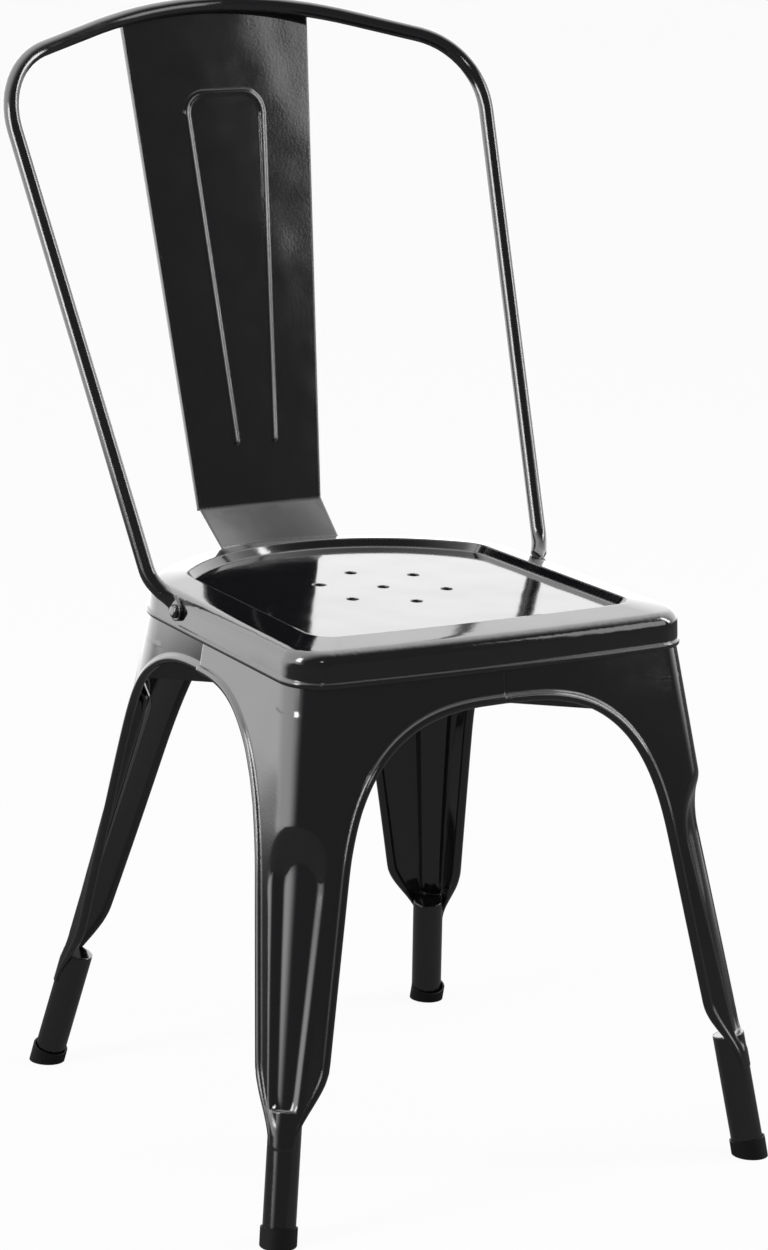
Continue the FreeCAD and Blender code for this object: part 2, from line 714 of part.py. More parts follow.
def rounded_path(points, radii):
    """Straight runs through the points, joined by tangent arcs of the given radii."""
    edges, start = [], points[0]
    for before, point, after, radius in zip(points, points[1:], points[2:], radii):
        into = (point - before).normalize()
        out = (after - point).normalize()
        half = into.getAngle(out) / 2
        reach = radius * math.tan(half)
        first, last = point - into * reach, point + out * reach
        bulge = (out - into).normalize() * (radius / math.cos(half) - radius)
        edges.append(Part.LineSegment(start, first).toShape())
        edges.append(Part.Arc(first, point + bulge, last).toShape())
        start = last
    edges.append(Part.LineSegment(start, points[-1]).toShape())
    return Part.Wire(edges)


def swept(name, wire, radius):
    """A round bar of a named radius along a route of straight runs and arcs."""
    start = wire.Edges[0].Vertexes[0].Point
    along = wire.Edges[0].tangentAt(wire.Edges[0].FirstParameter)
    ring = Part.Wire(Part.Circle(start, along, number(radius)).toShape())
    item = doc.addObject("Part::Feature", name)
    item.Shape = wire.makePipeShell([ring], True, False)
    return item


def across_plane(point, direction):
    return FreeCAD.Placement(point, FreeCAD.Rotation(V(0, 0, 1), direction))


def back_hoop():
    tab = skirt_frame("right")
    tube = number("hoop_tube_radius")
    start = tab.multVec(V(number("tab_neck_end"), 0, tube + number("hoop_stand_off")))
    bend = V(*(number(t) for t in ("hoop_foot_across", "hoop_foot_back", "hoop_foot_level")))
    corner = V(*(number(t) for t in ("hoop_corner_across", "hoop_corner_back", "hoop_corner_level")))
    crown = V(*(number(t) for t in ("hoop_crown_across", "hoop_crown_back", "hoop_crown_level")))
    half = [start, bend, corner, crown]
    points = half + [V(-p.x, p.y, p.z) for p in reversed(half)]
    radii = [number(t) for t in ("hoop_foot_bend", "hoop_corner_bend", "hoop_crown_bend")]
    wire = rounded_path(points, radii + radii[::-1])
    bar = swept("hoop_bar", wire, "hoop_tube_radius")
    bore = swept("hoop_bore", wire, "hoop_tube_radius - hoop_wall")
    necks, flats, holes = [], [], []
    for side, begin, first in (("right", points[0], points[1]), ("left", points[-1], points[-2])):
        frame = skirt_frame(side)
        ring = add("Part::Circle", "hoop_end_%s" % side, Radius="hoop_tube_radius")
        ring.Placement = across_plane(begin, (first - begin).normalize())
        flat = add("Part::Ellipse", "hoop_flat_%s" % side, MajorRadius="tab_width / 2",
                   MinorRadius="tab_wall / 2")
        flat.Placement = frame.multiply(FreeCAD.Placement(
            V(number("tab_neck_start"), 0, number("tab_wall / 2 + tab_gap")),
            FreeCAD.Rotation(V(0, 1, 0), V(0, 0, 1), V(1, 0, 0), "ZXY")))
        necks.append(loft("hoop_neck_%s" % side, [flat, ring]))
        plate = placed("Box", "hoop_plate_%s" % side, frame, FreeCAD.Placement(
            V(0, -number("tab_width") / 2, number("tab_gap")), FreeCAD.Rotation()),
            Length="tab_neck_start + 1.5", Width="tab_width", Height="tab_wall")
        tip = placed("Cylinder", "hoop_tip_%s" % side, frame, FreeCAD.Placement(
            V(0, 0, number("tab_gap")), FreeCAD.Rotation()), Radius="tab_width / 2", Height="tab_wall")
        hole = placed("Cylinder", "hoop_hole_%s" % side, frame, FreeCAD.Placement(
            V(0, 0, -5), FreeCAD.Rotation()), Radius="bolt_radius + bolt_gap", Height="20")
        flats += [plate, tip]
        holes.append(hole)
    bent = fuse("hoop_bent", bar, *necks)
    flattened = fuse("hoop_flattened", bent, *flats)
    return boolean("Cut", "back_hoop", flattened, fuse("hoop_hollows", bore, *holes))


def fastener(side):
    """A round-headed bolt through tab and skirt, and the washer and nut behind the skirt."""
    frame = skirt_frame(side)

    def at(depth):
        return FreeCAD.Placement(V(0, 0, depth), FreeCAD.Rotation())

    seat = number("tab_gap + tab_wall + press_gap")
    head = placed("Cylinder", "bolt_head_%s" % side, frame, at(seat), Radius="bolt_head_radius",
                  Height="bolt_head_height")
    settle()
    dome = doc.addObject("Part::Fillet", "bolt_dome_%s" % side)
    dome.Base = head
    size = number("bolt_head_height * 0.8")
    far = frame.multVec(V(0, 0, seat + number("bolt_head_height")))
    dome.Edges = [(i, size, size) for i, e in enumerate(head.Shape.Edges, start=1)
                  if e.Closed and (e.CenterOfMass - far).Length < 0.01]
    shank = placed("Cylinder", "bolt_shank_%s" % side, frame, at(seat + 0.5 - number("bolt_length")),
                   Radius="bolt_radius", Height="bolt_length")
    bolt = fuse("bolt_%s" % side, dome, shank)
    back = -number("sheet_wall + washer_gap")
    washer_disc = placed("Cylinder", "washer_disc_%s" % side, frame, at(back - number("washer_wall")),
                         Radius="washer_radius", Height="washer_wall")
    washer_bore = placed("Cylinder", "washer_bore_%s" % side, frame, at(-20),
                         Radius="bolt_radius + bolt_gap", Height="30")
    washer = boolean("Cut", "washer_%s" % side, washer_disc, washer_bore)
    nut_depth = back - number("washer_wall + press_gap + nut_height")
    hexagon = placed("Prism", "nut_hexagon_%s" % side, frame, at(nut_depth), Height="nut_height")
    hexagon.Polygon = 6
    bind(hexagon, Circumradius="nut_flats / 2 / cos(30)")
    nut_bore = placed("Cylinder", "nut_bore_%s" % side, frame, at(-20),
                      Radius="bolt_radius + press_gap", Height="30")
    nut = boolean("Cut", "nut_%s" % side, hexagon, nut_bore)
    return bolt, washer, nut


# Back splat: a pressed tray with an embossed rib, a creased neck and a flange behind the skirt.

def splat_frame():
    """The panel's front face: X to the left, Y up the panel, Z out of its back."""
    crease = V(0, number("splat_crease_back"), number("splat_crease_level"))
    head = V(0, number("hoop_crown_back + hoop_tube_radius + head_gap"), number("hoop_crown_level"))
    up = (head - crease).normalize()
    return FreeCAD.Placement(crease, FreeCAD.Rotation(V(-1, 0, 0), up, V(-1, 0, 0).cross(up)))


def panel_outline(body, name, inset, depth, low):
    """The tapered panel with an arched head, drawn in by an inset at the sides and head."""
    sketch = body.newObject("Sketcher::SketchObject", name)
    plane = [f for f in body.Origin.OriginFeatures if f.Role == "XY_Plane"][0]
    sketch.AttachmentSupport = (plane, "")
    sketch.MapMode = "FlatFace"
    bind(sketch, AttachmentOffset__Base__z=depth)
    head = "(splat_height - (%s))" % inset
    foot_half = "(splat_foot_half - (%s))" % inset
    lean = "atan((splat_head_half - splat_foot_half) / splat_height)"
    radius = "(splat_head_round - (%s))" % inset
    top, half, turn, big, base = (number(t) for t in (head, foot_half, lean, radius, low))
    slope = math.tan(math.radians(turn))
    centre = V(0, top - big)
    foot = V(half + base * slope, base)
    direction = V(slope, 1).normalize()
    offset = foot - centre
    reach = -offset.dot(direction) + math.sqrt(
        offset.dot(direction) ** 2 - offset.Length ** 2 + big ** 2)
    corner = foot + direction * reach
    flip = lambda p: V(-p.x, p.y)
    line(sketch, foot, corner)
    arc(sketch, centre, big, corner, flip(corner))
    line(sketch, flip(corner), flip(foot))
    line(sketch, flip(foot), foot)
    for edge in range(4):
        join(sketch, "Coincident", edge, (edge + 1) % 4)
    sketch.addConstraint(Sketcher.Constraint("Horizontal", 3))
    fix(sketch, "DistanceX", "0", -1, 1, 1, 3)
    fix(sketch, "DistanceY", "%s - %s" % (head, radius), -1, 1, 1, 3)
    fix(sketch, "Radius", radius, 1)
    fix(sketch, "DistanceY", low, -1, 1, 0, 1)
    fix(sketch, "DistanceX", "%s + (%s) * tan(%s)" % (foot_half, low, lean), -1, 1, 0, 1)
    fix(sketch, "DistanceX", "0 - %s - (%s) * tan(%s)" % (foot_half, low, lean), -1, 1, 2, 2)
    for index, edge, start in ((0, 0, "90 deg - %s"), (2, 2, "270 deg + %s")):
        value = math.radians(90 - turn if edge == 0 else 270 + turn)
        sketch.addConstraint(Sketcher.Constraint("Angle", -1, 1, edge, 1, value))
        sketch.setExpression("Constraints[%d]" % (sketch.ConstraintCount - 1), sized(start % lean))
    return sketch


def splat_panel():
    body = doc.addObject("PartDesign::Body", "splat_tray")
    outline = panel_outline(body, "tray_outline", "0", "0", "0 - 1")
    pad = body.newObject("PartDesign::Pad", "tray_pad")
    pad.Profile = outline
    bind(pad, Length="splat_depth")
    doc.recompute()
    inner = panel_outline(body, "tray_hollow_outline", "splat_wall", "splat_wall", "0 - 10")
    pocket = body.newObject("PartDesign::Pocket", "tray_hollow")
    pocket.Profile = inner
    pocket.Reversed = True
    bind(pocket, Length="splat_depth")
    doc.recompute()
    if pocket.Shape.Volume > 0.7 * pad.Shape.Volume:
        raise RuntimeError("the tray's hollow cut nothing")
    body.Tip = pocket
    return body


def rib_bar(name, radius):
    """The rib's round path on the panel, an upside-down U, with round ends."""
    depth = number("rib_radius - rib_proud")
    low, high = number("rib_foot"), number("rib_head")
    foot, head = number("rib_foot_half"), number("rib_head_half")
    points = [V(-foot, low, depth), V(-head, high, depth), V(head, high, depth), V(foot, low, depth)]
    wire = rounded_path(points, [number("rib_corner")] * 2)
    bar = swept(name + "_bar", wire, radius)
    ends = []
    for index, point in enumerate((points[0], points[-1])):
        ball = add("Part::Sphere", "%s_end_%d" % (name, index), Radius=radius)
        ball.Placement.Base = point
        ends.append(ball)
    return fuse(name, bar, *ends)


def flange_section(name, level):
    """A slice of the curved flange that lies behind the skirt's rear sweep."""
    sketch = flat_sketch(name, level)
    near = number("rear_sweep + lap_gap / 2")
    far = near + number("splat_wall")
    centre = V(0, number("rear_corner_back - sqrt((rear_sweep - rear_corner_round)^2"
                         " - rear_corner_across^2)"))
    half = math.asin(number("splat_flange_half") / near)

    def rim(radius, angle):
        return centre + V(radius * math.sin(angle), radius * math.cos(angle))

    edges = [Part.LineSegment(rim(near, half), rim(far, half)),
             Part.Arc(rim(far, half), rim(far, 0), rim(far, -half)),
             Part.LineSegment(rim(far, -half), rim(near, -half)),
             Part.Arc(rim(near, half), rim(near, 0), rim(near, -half))]
    for edge in edges:
        index = sketch.addGeometry(edge)
        sketch.addConstraint(Sketcher.Constraint("Block", index))
    return sketch


def crease_section(name, level):
    sketch = flat_sketch(name, level)
    half = number("splat_foot_half")
    front = number("splat_crease_back")
    back = front + number("splat_wall")
    corners = [V(half, front), V(half, back), V(-half, back), V(-half, front)]
    for first, last in zip(corners, corners[1:] + corners[:1]):
        index = line(sketch, first, last)
        sketch.addConstraint(Sketcher.Constraint("Block", index))
    return sketch


def back_splat():
    frame = splat_frame()
    outer = rib_bar("rib", "rib_radius")
    groove = rib_bar("rib_groove", "rib_radius - splat_wall + 0.1")
    slab = doc.addObject("Part::Box", "rib_slab")
    slab.Placement.Base = V(-200, -50, -20)
    bind(slab, Length="400", Width="600", Height="20 + splat_wall")
    raised = boolean("Common", "rib_raised", outer, slab)
    panel = boolean("Cut", "splat_panel", fuse("splat_ribbed", splat_panel(), raised), groove)
    panel.Placement = frame
    crease = crease_section("neck_top", "splat_crease_level + 0.5")
    skirt = flange_section("neck_foot", "splat_flange_top")
    neck = loft("splat_neck", [skirt, crease])
    foot = flange_section("flange_foot", "splat_flange_foot")
    top = flange_section("flange_top", "splat_flange_top + 0.2")
    flange = loft("splat_flange", [foot, top])
    return fuse("back_splat", panel, neck, flange)


# Cross braces: two strips on edge, halved into each other, with ends shaped to the legs' insides.

def brace_bar(name, start, path, side_gap, foot, height):
    """A strip on edge along a path, widened by a gap at each side."""
    bar = add("Part::Box", name, Width="brace_wall + 2 * (%s)" % side_gap, Height=height)
    bar.Length = path.Length
    way = FreeCAD.Rotation(V(1, 0, 0), path)
    shift = way.multVec(V(0, -number("brace_wall / 2 + (%s)" % side_gap), number(foot)))
    bar.Placement = FreeCAD.Placement(start + shift, way)
    return bar


def brace_half(name, end, start, path, turned):
    """The strip from a leg's corner to the crossing's side, with its end turned along the leg."""
    def inside(label, inset):
        form = block("%s_%s" % (name, label), end, "(0 - (%s))" % inset, "brace_reach", "lip_height",
                     "brace_level")
        if not turned:
            return form
        back = mirror(form.Name + "_back", form, V(0, 1, 0))
        return mirror(form.Name + "_right", back, V(1, 0, 0))

    room = inside("room", "sheet_wall + brace_gap")
    lining = inside("lining", "sheet_wall + brace_gap + brace_wall")
    strip = brace_bar(name + "_strip", start, path, "0", "0", "brace_height")
    trimmed = boolean("Common", name + "_trimmed", strip, room)
    sign = -1 if turned else 1
    tab = add("Part::Box", name + "_tab", Length="brace_tab", Width="60",
              Height="brace_height + brace_drop")
    left = start.x + sign * number("brace_tab_start")
    tab.Placement.Base = V(min(left, left + sign * number("brace_tab")), start.y - 30,
                           start.z - number("brace_drop"))
    shell = boolean("Cut", name + "_shell", room, lining)
    turned_end = boolean("Common", name + "_end", tab, shell)
    return fuse(name, trimmed, turned_end)


def brace(name, notch):
    """The strip from front left to rear right, with its half of the crossing cut out."""
    share = 1 - number("brace_level / %s" % RIM)
    start = corner_point(FRONT, share)
    stop = corner_point(REAR, share)
    stop = V(-stop.x, -stop.y, stop.z)
    half = (stop - start) * 0.5
    whole = fuse(name + "_whole", brace_half(name + "_front", FRONT, start, half, False),
                 brace_half(name + "_rear", REAR, stop, -half, True))
    foot = "brace_height / 2 - press_gap" if notch == "top" else "0 - 5"
    gap = brace_bar(name + "_notch", V(-start.x, start.y, start.z), V(start.x - stop.x, stop.y - start.y),
                    "press_gap", foot, "brace_height / 2 + press_gap + 5")
    return boolean("Cut", name, whole, gap)


def node(name, item, shifted=True):
    """Name an object as one of the chair's pieces, and set it back to the chair's origin."""
    item.Label = name
    if shifted:
        bind(item, Placement__Base__y="origin_shift")
    return item


def both_sides(stem, left):
    """The left piece and its mirror image on the right."""
    right = mirror(stem + "_right_copy", left, V(1, 0, 0))
    return [node(stem + "_left", left), node(stem + "_right", right, shifted=False)]


def compound(name, items):
    item = doc.addObject("Part::Compound", name)
    item.Links = items
    return item


pieces = []
for end in (FRONT, REAR):
    for kind, item in (("leg", leg(end)), ("foot_cap", foot_cap(end))):
        if end is REAR:
            item = mirror("%s_rear_turned" % kind, item, V(0, 1, 0))
        pieces += both_sides("%s_%s" % (kind, end["name"]), item)

bolts, washers, nuts = zip(*(fastener(side) for side in ("left", "right")))
bolt_holes = [placed("Cylinder", "skirt_hole_%s" % side, skirt_frame(side),
                     FreeCAD.Placement(V(0, 0, -8), FreeCAD.Rotation()),
                     Radius="bolt_radius + bolt_gap", Height="16") for side in ("left", "right")]
pieces.append(node("seat_pan", boolean("Cut", "seat_drilled", seat_pan(),
                                       fuse("skirt_holes", *bolt_holes))))
pieces.append(node("back_hoop", back_hoop()))
pieces.append(node("back_splat", back_splat()))
pieces.append(node("hoop_bolts", compound("bolt_pair", bolts)))
pieces.append(node("hoop_washers", compound("washer_pair", washers)))
pieces.append(node("hoop_nuts", compound("nut_pair", nuts)))

pieces.append(node("brace_front_left", brace("brace_a", "top")))
crossed = mirror("brace_b_turned", brace("brace_b", "foot"), V(1, 0, 0))
pieces.append(node("brace_front_right", crossed))

settle()
os.makedirs("parts", exist_ok=True)
for piece in pieces:
    shape = piece.Shape
    if shape.isNull() or not shape.isValid():
        raise RuntimeError("%s has no valid shape" % piece.Label)
for piece in pieces:
    piece.Shape.exportStep("parts/%s.step" % piece.Label)
    print(piece.Label, len(piece.Shape.Solids), round(piece.Shape.Volume))
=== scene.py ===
# %% [markdown]
# This lesson dresses a steel bistro chair. The chair is pressed from sheet steel and bent tube, and
# every steel piece is painted gloss black, so nearly all that the eye sees is reflections.
# The seat, the back, the braces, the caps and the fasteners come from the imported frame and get
# smooth shading, paint, rubber and zinc. The four pressed legs are worked out here, inside the same
# box, because their soft troughs and rolled hems need a finer form. A plain light studio holds it.

# %% Load the frame
import json
import math
import bpy
from mathutils import Matrix, Vector

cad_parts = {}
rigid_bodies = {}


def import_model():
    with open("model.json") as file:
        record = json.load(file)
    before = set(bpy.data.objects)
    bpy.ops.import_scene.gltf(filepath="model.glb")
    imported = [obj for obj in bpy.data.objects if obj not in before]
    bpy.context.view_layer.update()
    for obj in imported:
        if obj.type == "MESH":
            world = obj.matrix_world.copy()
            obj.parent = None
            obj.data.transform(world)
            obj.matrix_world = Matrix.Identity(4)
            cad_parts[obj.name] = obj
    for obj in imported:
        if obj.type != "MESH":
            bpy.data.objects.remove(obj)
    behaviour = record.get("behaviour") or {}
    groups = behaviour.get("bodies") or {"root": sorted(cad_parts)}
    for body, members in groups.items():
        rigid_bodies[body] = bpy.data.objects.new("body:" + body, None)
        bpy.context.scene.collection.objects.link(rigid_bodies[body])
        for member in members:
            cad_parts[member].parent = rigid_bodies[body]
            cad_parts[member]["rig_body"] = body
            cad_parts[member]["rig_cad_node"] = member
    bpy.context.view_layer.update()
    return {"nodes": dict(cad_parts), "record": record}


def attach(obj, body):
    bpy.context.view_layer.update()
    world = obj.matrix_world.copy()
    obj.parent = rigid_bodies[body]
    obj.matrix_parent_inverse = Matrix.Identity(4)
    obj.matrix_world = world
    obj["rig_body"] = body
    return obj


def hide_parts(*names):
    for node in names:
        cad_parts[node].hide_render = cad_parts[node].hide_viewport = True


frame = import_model()
print("nodes", len(frame["nodes"]))

# %% [markdown]
# The camera was found from the photograph: straight edges and the four feet fix where it stood and
# how it was turned. It stands about three and a half metres away and one and a quarter metres up, to
# the left of the chair's front, and is rolled by two degrees.

# %% Camera
PHOTO_HEIGHT = 1250
FOCAL_LENGTH_PIXELS = 4547.3
AXIS_LEFT_OF_MIDDLE_PIXELS = 12.2
CAMERA_PLACE = (-1.81666, -2.93998, 1.26336)
CAMERA_RIGHT = Vector((0.85411, -0.51879, 0.03685))
CAMERA_UP = Vector((0.09703, 0.22855, 0.96869))
SENSOR_WIDTH = 36.0


def add_camera():
    bpy.ops.object.camera_add(location=CAMERA_PLACE)
    camera = bpy.context.object
    turn = Matrix((CAMERA_RIGHT, CAMERA_UP, CAMERA_RIGHT.cross(CAMERA_UP))).transposed()
    camera.rotation_euler = turn.to_euler()
    camera.data.sensor_width = SENSOR_WIDTH
    camera.data.lens = FOCAL_LENGTH_PIXELS * SENSOR_WIDTH / PHOTO_HEIGHT
    camera.data.shift_x = AXIS_LEFT_OF_MIDDLE_PIXELS / PHOTO_HEIGHT
    bpy.context.scene.camera = camera
    return camera


camera = add_camera()
print("lens", round(camera.data.lens, 1), "mm")

# %% [markdown]
# A shader is a small sum done at every point of a surface. Writing that sum with plus and times
# signs is easier to read than wiring nodes by hand, so one small class wraps a node's output and
# adds a Math node for each sign. A second class adds every other kind of node.

# %% Shader sums
class Value:
    """A node's output that can be added to, multiplied and so on."""

    def __init__(self, material, output):
        self.material = material
        self.output = output

    def _math(self, operation, first, second):
        return self.material.node("ShaderNodeMath", {"operation": operation}, [first, second])

    def __add__(self, other):
        return self._math("ADD", self, other)

    def __radd__(self, other):
        return self._math("ADD", other, self)

    def __sub__(self, other):
        return self._math("SUBTRACT", self, other)

    def __rsub__(self, other):
        return self._math("SUBTRACT", other, self)

    def __mul__(self, other):
        return self._math("MULTIPLY", self, other)

    def __rmul__(self, other):
        return self._math("MULTIPLY", other, self)


class Recipe:
    """A material or world being written, node by node."""

    def __init__(self, owner):
        owner.use_nodes = True
        self.owner = owner
        self.tree = owner.node_tree
        self.tree.nodes.clear()

    def node(self, kind, settings=None, inputs=None, output=0):
        """Add a node with its settings, fill its sockets and return one output, by number or name."""
        made = self.tree.nodes.new(kind)
        for name, setting in (settings or {}).items():
            setattr(made, name, setting)
        pairs = enumerate(inputs) if isinstance(inputs, list) else (inputs or {}).items()
        for key, given in pairs:
            if isinstance(given, Value):
                self.tree.links.new(given.output, made.inputs[key])
            else:
                made.inputs[key].default_value = given
        return Value(self, made.outputs[output])

    def finish(self, kind, surface):
        end = self.tree.nodes.new(kind)
        self.tree.links.new(surface.output, end.inputs["Surface"])
        return self.owner


# %% [markdown]
# Gloss black shows its surroundings more than itself. The studio is a white room whose side behind
# the camera is dim: the paint then stays black where it faces the camera and lights up where it
# turns away, which draws the edges of every tube and flange. The backdrop is lit harder than paper
# white, as in a real studio, and only mirrored rays see that. The camera itself sees plain white.

# %% Studio
GENERATED, Y_AXIS = 0, 1
WHITE_SIDE = 2.6
DIM_SIDE = 0.12
ROOM_LIGHT = 0.55
ROOM_DIM_UNTIL = -0.45
ROOM_WHITE_FROM = 0.25


def ray_is(recipe, kind):
    """One where the ray being followed is of this kind, and nought elsewhere."""
    return recipe.node("ShaderNodeLightPath", output="Is %s Ray" % kind)


def dim_to_white(recipe, factor, start, end):
    """A soft step from the dim side's strength to the white side's."""
    return recipe.node("ShaderNodeMapRange", {"interpolation_type": "SMOOTHSTEP"}, {
        "Value": factor, "From Min": start, "From Max": end, "To Min": DIM_SIDE, "To Max": WHITE_SIDE})


def make_room():
    world = bpy.data.worlds.new("studio")
    bpy.context.scene.world = world
    recipe = Recipe(world)
    is_glossy = ray_is(recipe, "Glossy")
    direction = recipe.node("ShaderNodeTexCoord", output=GENERATED)
    backward = recipe.node("ShaderNodeSeparateXYZ", inputs=[direction], output=Y_AXIS)
    mirrored = is_glossy * dim_to_white(recipe, backward, ROOM_DIM_UNTIL, ROOM_WHITE_FROM)
    seen = recipe.node("ShaderNodeMath", {"operation": "MAXIMUM"},
                       [ray_is(recipe, "Camera"), ray_is(recipe, "Transmission")])
    plain = (1.0 - is_glossy) * ROOM_LIGHT
    strength = seen + (1.0 - seen) * (mirrored + plain)
    light = recipe.node("ShaderNodeBackground", inputs={"Color": (1, 1, 1, 1), "Strength": strength})
    return recipe.finish("ShaderNodeOutputWorld", light)


make_room()
bpy.context.scene.view_settings.view_transform = "Standard"
print("mirrored room goes from", DIM_SIDE, "to", WHITE_SIDE)

# %% [markdown]
# Four softboxes stand round the chair. The two tall ones at the sides draw thin bright lines on the
# tubes and hems, the small one in front gives the round highlights at the corners, and the broad one
# at the front right lies as a pale veil on the right half of the splat. The camera sees none of them.

# %% Softboxes
SOFTBOXES = {
    "softbox_left": {"place": (-2.6, -0.2, 1.7), "aim": (0, 0, 0.5), "size": (0.7, 1.9), "power": 45},
    "softbox_right": {"place": (2.4, -1.0, 1.6), "aim": (0, 0, 0.5), "size": (0.5, 1.9), "power": 30},
    "softbox_front": {"place": (-1.0, -3.4, 2.3), "aim": (0, 0, 0.5), "size": (0.35, 0.35), "power": 6},
    "softbox_front_right": {
        "place": (2.0, -2.0, 1.35), "aim": (0.05, 0.22, 0.65), "size": (0.9, 1.6), "power": 10},
}


def add_softbox(name, place, aim, size, power):
    bpy.ops.object.light_add(type="AREA", location=place)
    lamp = bpy.context.object
    lamp.name = name
    lamp.data.shape = "RECTANGLE"
    lamp.data.size, lamp.data.size_y = size
    lamp.data.energy = power
    lamp.visible_camera = False
    lamp.rotation_euler = (Vector(aim) - Vector(place)).to_track_quat("-Z", "Y").to_euler()
    return lamp


for name, facts in SOFTBOXES.items():
    add_softbox(name, **facts)

# %% [markdown]
# The floor is white paper. To the camera it is nearly pure white and keeps only a breath of the
# chair's shadow. Mirrored rays see it dim near the chair and white further back, where the backdrop's
# lamps would fall on it.

# %% Floor
OBJECT_PLACE = 3
FLOOR_HALF = 8.0
FLOOR_DROP = 0.0005
FLOOR_DIM_UNTIL = 1.1
FLOOR_WHITE_FROM = 1.9
FLOOR_GLOW = 0.93
PAPER_WHITE = (0.8, 0.8, 0.8, 1)
FULL_WHITE = (1, 1, 1, 1)


def paint_floor():
    recipe = Recipe(bpy.data.materials.new("floor_white"))
    is_camera, is_glossy = ray_is(recipe, "Camera"), ray_is(recipe, "Glossy")
    place = recipe.node("ShaderNodeTexCoord", output=OBJECT_PLACE)
    backward = recipe.node("ShaderNodeSeparateXYZ", inputs=[place], output=Y_AXIS)
    mirrored = dim_to_white(recipe, backward, FLOOR_DIM_UNTIL, FLOOR_WHITE_FROM)
    strength = is_glossy * mirrored + (1.0 - is_glossy)
    matt = recipe.node("ShaderNodeBsdfDiffuse", inputs={"Color": PAPER_WHITE})
    glow = recipe.node("ShaderNodeEmission", inputs={"Color": FULL_WHITE, "Strength": strength})
    share = is_camera * FLOOR_GLOW + is_glossy * FLOOR_GLOW
    mixed = recipe.node("ShaderNodeMixShader", inputs=[share, matt, glow])
    return recipe.finish("ShaderNodeOutputMaterial", mixed)


bpy.ops.mesh.primitive_plane_add(size=2 * FLOOR_HALF, location=(0, 0, -FLOOR_DROP))
floor = bpy.context.object
floor.name = "floor"
floor.data.materials.append(paint_floor())
print("floor", 2 * FLOOR_HALF, "m across")

# %% [markdown]
# The paint is powder paint baked to a high gloss. It is near black, with a clear reflective skin that
# is never perfectly flat: broad waves several centimetres long from the pressing, and a fine ripple
# like the peel of an orange. The waves stay under a millimetre and the ripple under a twentieth of
# one, because even that bends a reflection. A little dust makes the gloss uneven. Paint also flows
# round a cut edge, so a Bevel node turns the normals there as if it were rounded by two millimetres.

# %% Paint
EDGE_ROUND = 0.0022
EDGE_SAMPLES = 6
ENAMEL_IOR = 1.8
BUMP_STRENGTH = 0.5
WAVE = {"Scale": 14.0, "Detail": 1.0}
RIPPLE = {"Scale": 420.0, "Detail": 2.0}
DUST = {"Scale": 60.0, "Detail": 6.0}
WAVE_HEIGHT = 0.0012
RIPPLE_HEIGHT = 0.00003
CLEAN_ROUGHNESS = 0.05
DUST_ROUGHNESS = 0.06


def cloud(recipe, grain):
    """A cloudy pattern that stays put on the surface."""
    place = recipe.node("ShaderNodeTexCoord", output=OBJECT_PLACE)
    return recipe.node("ShaderNodeTexNoise", inputs={"Vector": place, **grain})


def paint_steel(name, colour, peel=1.0):
    recipe = Recipe(bpy.data.materials.new(name))
    wave, ripple, dust = cloud(recipe, WAVE), cloud(recipe, RIPPLE), cloud(recipe, DUST)
    height = wave * WAVE_HEIGHT + ripple * (RIPPLE_HEIGHT * peel)
    rounded = recipe.node("ShaderNodeBevel", {"samples": EDGE_SAMPLES}, {"Radius": EDGE_ROUND})
    bump = recipe.node("ShaderNodeBump", inputs={
        "Strength": BUMP_STRENGTH, "Distance": 1.0, "Height": height, "Normal": rounded})
    rough = CLEAN_ROUGHNESS + dust * DUST_ROUGHNESS
    body = recipe.node("ShaderNodeBsdfPrincipled", inputs={
        "Base Color": (*colour, 1), "Roughness": rough, "IOR": ENAMEL_IOR, "Normal": bump})
    return recipe.finish("ShaderNodeOutputMaterial", body)


print("paint waves up to", round(1000 * BUMP_STRENGTH * WAVE_HEIGHT, 3), "mm high")

# %% [markdown]
# The foot caps are moulded rubber: matt, with a fine grain from the mould and scuffs that come and go.
# The fasteners have a thin zinc plate, whose haze makes the metal's gloss uneven.

# %% Rubber and zinc
RUBBER_IOR = 1.25
GRAIN = {"Scale": 900.0, "Detail": 3.0}
GRAIN_HEIGHT = 0.0001
GRAIN_STRENGTH = 0.4
SCUFF = {"Scale": 90.0, "Detail": 5.0}
RUBBER_ROUGHNESS = 0.45
SCUFF_ROUGHNESS = 0.25
HAZE = {"Scale": 300.0, "Detail": 4.0}
ZINC_ROUGHNESS = 0.15
HAZE_ROUGHNESS = 0.2


def mould_rubber(name, colour):
    recipe = Recipe(bpy.data.materials.new(name))
    grain, scuff = cloud(recipe, GRAIN), cloud(recipe, SCUFF)
    bump = recipe.node("ShaderNodeBump", inputs={
        "Strength": GRAIN_STRENGTH, "Distance": 1.0, "Height": grain * GRAIN_HEIGHT})
    rough = RUBBER_ROUGHNESS + scuff * SCUFF_ROUGHNESS
    body = recipe.node("ShaderNodeBsdfPrincipled", inputs={
        "Base Color": (*colour, 1), "Roughness": rough, "IOR": RUBBER_IOR, "Normal": bump})
    return recipe.finish("ShaderNodeOutputMaterial", body)


def plate_zinc(name, colour):
    recipe = Recipe(bpy.data.materials.new(name))
    rough = ZINC_ROUGHNESS + cloud(recipe, HAZE) * HAZE_ROUGHNESS
    body = recipe.node("ShaderNodeBsdfPrincipled", inputs={
        "Base Color": (*colour, 1), "Metallic": 1.0, "Roughness": rough})
    return recipe.finish("ShaderNodeOutputMaterial", body)


